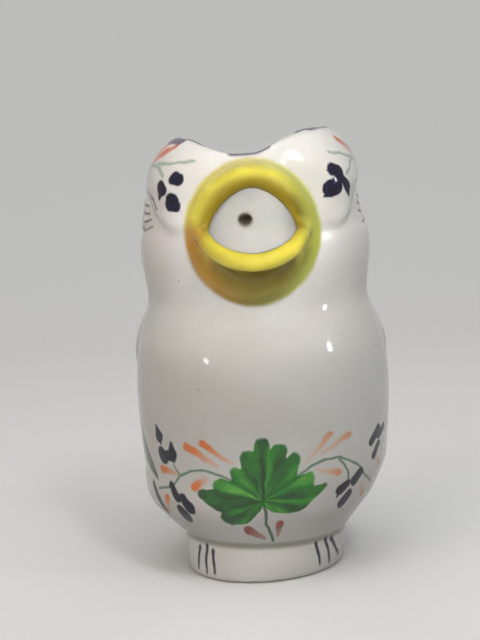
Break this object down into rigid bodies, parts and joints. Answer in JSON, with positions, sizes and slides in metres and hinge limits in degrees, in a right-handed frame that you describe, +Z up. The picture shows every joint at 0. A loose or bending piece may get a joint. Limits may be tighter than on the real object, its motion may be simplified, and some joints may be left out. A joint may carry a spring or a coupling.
{
  "type": "bird creamer",
  "caption": "Open-topped pottery jug in the shape of a young bird, pouring through its open beak, with a saddle rim, a loop handle and a round foot.",
  "frame": {"origin": "centre of the foot's flat underside", "axes": "+Z up, -Y the way the open beak looks, +X to the right of someone who faces the beak"},
  "size_m": [0.0817, 0.1178, 0.1404],
  "materials": {
    "white_glaze": "glossy white tin glaze over earthenware, brush-painted in green, orange and cobalt",
    "yellow_glaze": "glossy yellow glaze, pooled to orange-brown in the hollows"
  },
  "bodies": {
    "root": {"body_shell": "white_glaze", "foot": "white_glaze", "upper_beak": "yellow_glaze", "lower_beak": "yellow_glaze", "handle": "white_glaze", "tail": "white_glaze", "wing_left": "white_glaze", "wing_right": "white_glaze", "eye_left": "white_glaze", "eye_right": "white_glaze"}
  },
  "joints": []
}
